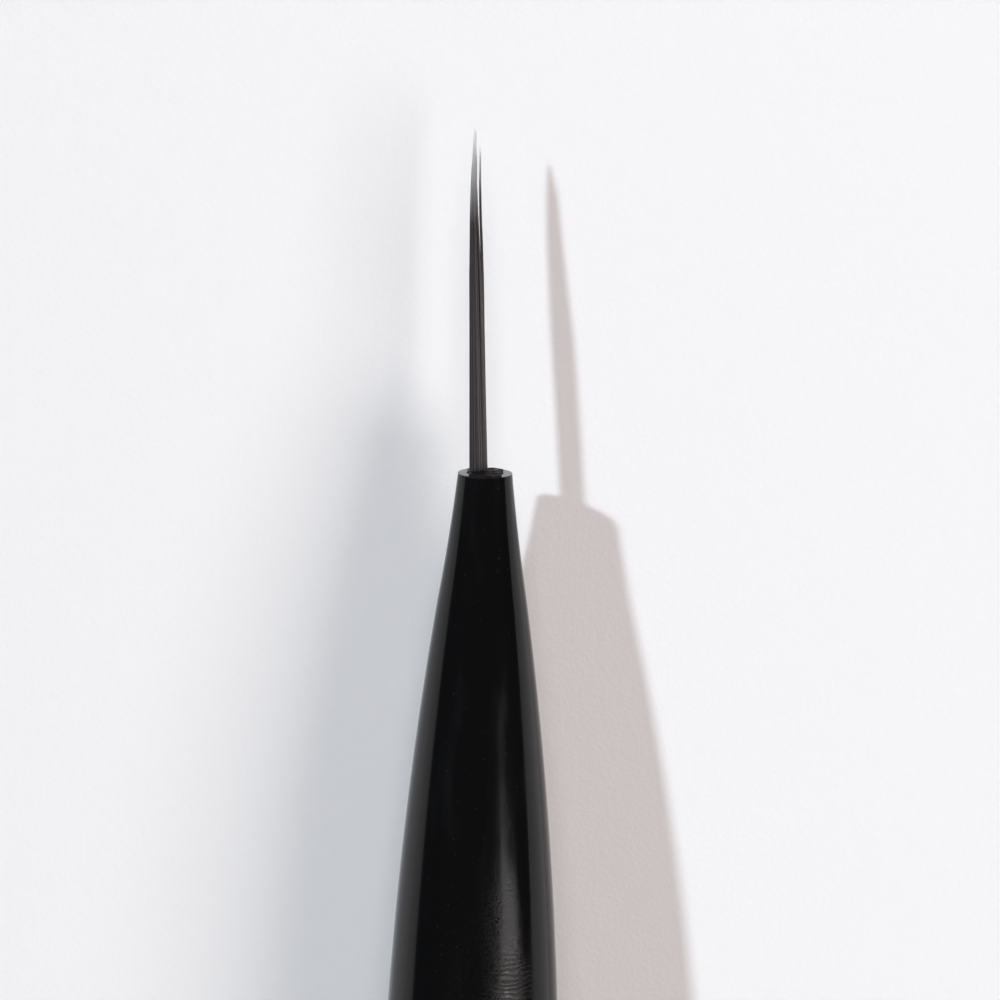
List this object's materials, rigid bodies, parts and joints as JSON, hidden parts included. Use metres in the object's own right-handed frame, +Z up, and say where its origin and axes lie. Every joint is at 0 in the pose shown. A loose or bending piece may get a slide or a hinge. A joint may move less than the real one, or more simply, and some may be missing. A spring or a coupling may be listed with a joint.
{
  "type": "calligraphy brush pen",
  "caption": "Fine-line calligraphy brush pen on its side: long thin hair tuft in a tapered nose, screw-in section with ink cartridge, barrel, cap with clip posted on the rear end.",
  "frame": {"origin": "centre of the flat end face of the cap's crown, with the cap posted on the barrel's rear end", "axes": "+Y along the pen's axis towards the tuft, +Z up as the pen lies on its side, +X to its right seen from above with the tuft pointing away"},
  "size_m": [0.0126, 0.1885, 0.0118],
  "materials": {
    "gloss_black_plastic": "polished injection moulding with fine dust and hairline scratches",
    "dried_ink": "lumpy matt black with a few glossy spots",
    "brush_hair": "fine dark hair with translucent pale tips",
    "natural_plastic": "as moulded",
    "ink_fibre": "bonded fibre stained with ink",
    "binding_thread": "wound thread",
    "seal_rubber": "smooth rubber",
    "steel_trim": "fine turned and brushed steel",
    "ball_steel": "polished steel",
    "inked_plastic": "cartridge wall stained by ink"
  },
  "bodies": {
    "barrel": {"barrel": "gloss_black_plastic", "tail_plug": "gloss_black_plastic"},
    "ring": {"trim_ring": "steel_trim"},
    "section": {"grip_section": "gloss_black_plastic", "mouth_seal": "dried_ink", "tuft_holder": "natural_plastic", "tuft_root": "brush_hair", "tuft_shank": "brush_hair", "tuft_binding": "binding_thread", "relay_core": "ink_fibre", "core_holder": "natural_plastic", "cartridge_adaptor": "natural_plastic", "adaptor_o_ring": "seal_rubber"},
    "tuft": {"tuft_main_lock": "brush_hair", "tuft_side_lock": "brush_hair"},
    "cartridge": {"cartridge_shell": "inked_plastic", "cartridge_mouth_ring": "natural_plastic"},
    "ball": {"agitator_ball": "ball_steel"},
    "cap": {"cap_shell": "gloss_black_plastic", "cap_inner_liner": "natural_plastic", "cap_band": "steel_trim", "cap_crown": "gloss_black_plastic", "clip_collar": "steel_trim"},
    "clip": {"cap_clip": "steel_trim"}
  },
  "joints": [
    {"name": "thread_advance", "type": "slide", "parent": "barrel", "child": "ring", "axis": [0, 1, 0], "range_m": [0, 0.0042]},
    {"name": "section_turn", "type": "hinge", "parent": "ring", "child": "section", "pos_m": [0, 0.1265, 0], "axis": [0, 1, 0], "range_deg": [0, 1260.1]},
    {"name": "tuft_bend", "type": "hinge", "parent": "section", "child": "tuft", "pos_m": [-0.00034, 0.1702, -0.00015], "axis": [0, 0, 1], "range_deg": [-35, 35], "stiffness_Nm_per_rad": 0.00005},
    {"name": "cartridge_unplug", "type": "slide", "parent": "section", "child": "cartridge", "axis": [0, -1, 0], "range_m": [0, 0.0075]},
    {"name": "ball_travel", "type": "slide", "parent": "cartridge", "child": "ball", "axis": [0, -1, 0], "range_m": [0, 0.031]},
    {"name": "cap_pull", "type": "slide", "parent": "barrel", "child": "cap", "axis": [0, -1, 0], "range_m": [0, 0.02]},
    {"name": "clip_flex", "type": "hinge", "parent": "cap", "child": "clip", "pos_m": [0.00559, 0.0022, -0.00469], "axis": [-0.6428, 0, -0.766], "range_deg": [0, 4], "stiffness_Nm_per_rad": 0.06}
  ],
  "couplings": [
    {"joint": "section_turn", "follows": "thread_advance", "rad_per_m": 5236}
  ]
}
